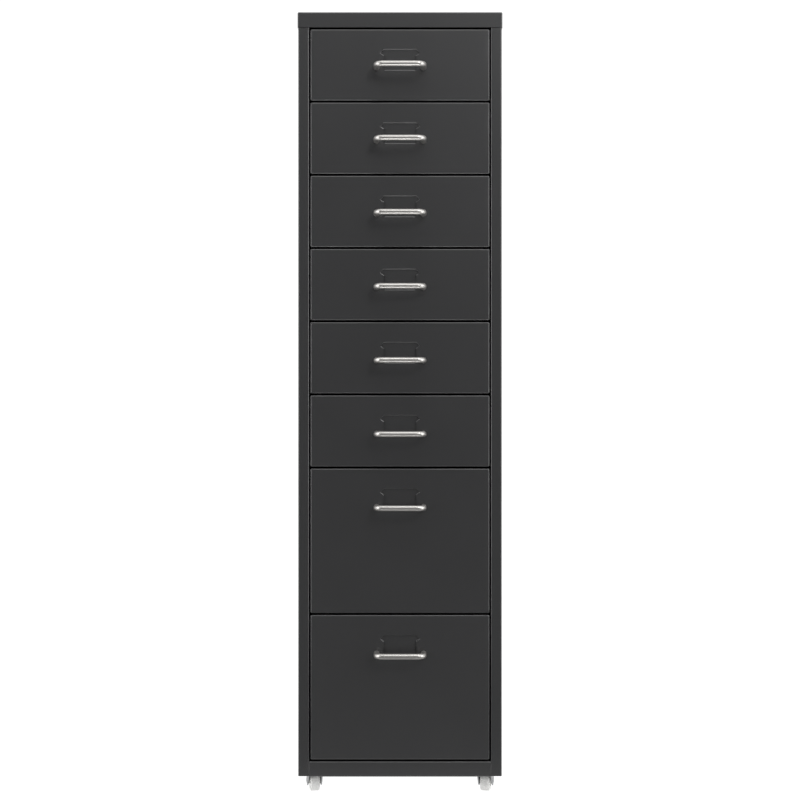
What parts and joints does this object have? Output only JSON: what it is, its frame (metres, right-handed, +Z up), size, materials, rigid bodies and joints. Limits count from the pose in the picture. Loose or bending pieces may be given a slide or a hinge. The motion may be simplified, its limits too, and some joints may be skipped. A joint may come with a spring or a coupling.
{
  "type": "chest of drawers",
  "caption": "Tall narrow sheet-steel chest of drawers on swivel casters, with shallow drawers over deep ones, bow handles and card pockets.",
  "frame": {"origin": "floor level, under the middle of the overall box, handles and rear screw heads included", "axes": "+X right, +Y towards the back panel, +Z up; the drawers open towards -Y"},
  "size_m": [0.28, 0.4422, 1.0744],
  "materials": {
    "cabinet_paint": "satin anthracite powder coat",
    "drawer_paint": "satin anthracite powder coat",
    "nickel_plating": "nickel plate, semi-bright",
    "zinc_plating": "zinc plate, dull",
    "caster_plastic": "moulded, light grey"
  },
  "bodies": {
    "cabinet": {"top_panel": "cabinet_paint", "bottom_panel": "cabinet_paint", "left_side_panel": "cabinet_paint", "right_side_panel": "cabinet_paint", "back_panel": "cabinet_paint", "left_runners": "cabinet_paint", "right_runners": "cabinet_paint", "caster_channels": "cabinet_paint", "caster_nuts": "zinc_plating", "caster_balls": "zinc_plating", "panel_screws": "zinc_plating", "panel_nuts": "zinc_plating", "front_left_stem": "zinc_plating", "front_right_stem": "zinc_plating", "rear_left_stem": "zinc_plating", "rear_right_stem": "zinc_plating"},
    "front_left_fork": {"front_left_fork": "zinc_plating", "front_left_axle": "zinc_plating"},
    "front_left_wheel": {"front_left_wheel": "caster_plastic"},
    "front_right_fork": {"front_right_fork": "zinc_plating", "front_right_axle": "zinc_plating"},
    "front_right_wheel": {"front_right_wheel": "caster_plastic"},
    "rear_left_fork": {"rear_left_fork": "zinc_plating", "rear_left_axle": "zinc_plating"},
    "rear_left_wheel": {"rear_left_wheel": "caster_plastic"},
    "rear_right_fork": {"rear_right_fork": "zinc_plating", "rear_right_axle": "zinc_plating"},
    "rear_right_wheel": {"rear_right_wheel": "caster_plastic"},
    "drawer_1": {"drawer_1_front": "drawer_paint", "drawer_1_box": "drawer_paint", "drawer_1_handle": "nickel_plating", "drawer_1_screws": "zinc_plating"},
    "drawer_2": {"drawer_2_front": "drawer_paint", "drawer_2_box": "drawer_paint", "drawer_2_handle": "nickel_plating", "drawer_2_screws": "zinc_plating"},
    "drawer_3": {"drawer_3_front": "drawer_paint", "drawer_3_box": "drawer_paint", "drawer_3_handle": "nickel_plating", "drawer_3_screws": "zinc_plating"},
    "drawer_4": {"drawer_4_front": "drawer_paint", "drawer_4_box": "drawer_paint", "drawer_4_handle": "nickel_plating", "drawer_4_screws": "zinc_plating"},
    "drawer_5": {"drawer_5_front": "drawer_paint", "drawer_5_box": "drawer_paint", "drawer_5_handle": "nickel_plating", "drawer_5_screws": "zinc_plating"},
    "drawer_6": {"drawer_6_front": "drawer_paint", "drawer_6_box": "drawer_paint", "drawer_6_handle": "nickel_plating", "drawer_6_screws": "zinc_plating"},
    "drawer_7": {"drawer_7_front": "drawer_paint", "drawer_7_box": "drawer_paint", "drawer_7_handle": "nickel_plating", "drawer_7_screws": "zinc_plating"},
    "drawer_8": {"drawer_8_front": "drawer_paint", "drawer_8_box": "drawer_paint", "drawer_8_handle": "nickel_plating", "drawer_8_screws": "zinc_plating"}
  },
  "joints": [
    {"name": "drawer_1_slide", "type": "slide", "parent": "cabinet", "child": "drawer_1", "axis": [0, -1, 0], "range_m": [0, 0.3]},
    {"name": "drawer_2_slide", "type": "slide", "parent": "cabinet", "child": "drawer_2", "axis": [0, -1, 0], "range_m": [0, 0.3]},
    {"name": "drawer_3_slide", "type": "slide", "parent": "cabinet", "child": "drawer_3", "axis": [0, -1, 0], "range_m": [0, 0.3]},
    {"name": "drawer_4_slide", "type": "slide", "parent": "cabinet", "child": "drawer_4", "axis": [0, -1, 0], "range_m": [0, 0.3]},
    {"name": "drawer_5_slide", "type": "slide", "parent": "cabinet", "child": "drawer_5", "axis": [0, -1, 0], "range_m": [0, 0.3]},
    {"name": "drawer_6_slide", "type": "slide", "parent": "cabinet", "child": "drawer_6", "axis": [0, -1, 0], "range_m": [0, 0.3]},
    {"name": "drawer_7_slide", "type": "slide", "parent": "cabinet", "child": "drawer_7", "axis": [0, -1, 0], "range_m": [0, 0.3]},
    {"name": "drawer_8_slide", "type": "slide", "parent": "cabinet", "child": "drawer_8", "axis": [0, -1, 0], "range_m": [0, 0.3]},
    {"name": "front_left_swivel", "type": "hinge", "parent": "cabinet", "child": "front_left_fork", "pos_m": [-0.11796, -0.1551, 0.03], "axis": [0, 0, 1], "continuous": true},
    {"name": "front_left_spin", "type": "hinge", "parent": "front_left_fork", "child": "front_left_wheel", "pos_m": [-0.11949, -0.14421, 0.015], "axis": [0.9903, 0.1392, 0], "continuous": true},
    {"name": "front_right_swivel", "type": "hinge", "parent": "cabinet", "child": "front_right_fork", "pos_m": [0.11796, -0.1551, 0.03], "axis": [0, 0, 1], "continuous": true},
    {"name": "front_right_spin", "type": "hinge", "parent": "front_right_fork", "child": "front_right_wheel", "pos_m": [0.11987, -0.14427, 0.015], "axis": [0.9848, -0.1736, 0], "continuous": true},
    {"name": "rear_left_swivel", "type": "hinge", "parent": "cabinet", "child": "rear_left_fork", "pos_m": [-0.11796, 0.1829, 0.03], "axis": [0, 0, 1], "continuous": true},
    {"name": "rear_left_spin", "type": "hinge", "parent": "rear_left_fork", "child": "rear_left_wheel", "pos_m": [-0.12099, 0.19347, 0.015], "axis": [0.9613, 0.2756, 0], "continuous": true},
    {"name": "rear_right_swivel", "type": "hinge", "parent": "cabinet", "child": "rear_right_fork", "pos_m": [0.11796, 0.1829, 0.03], "axis": [0, 0, 1], "continuous": true},
    {"name": "rear_right_spin", "type": "hinge", "parent": "rear_right_fork", "child": "rear_right_wheel", "pos_m": [0.12062, 0.19357, 0.015], "axis": [0.9703, -0.2419, 0], "continuous": true}
  ]
}
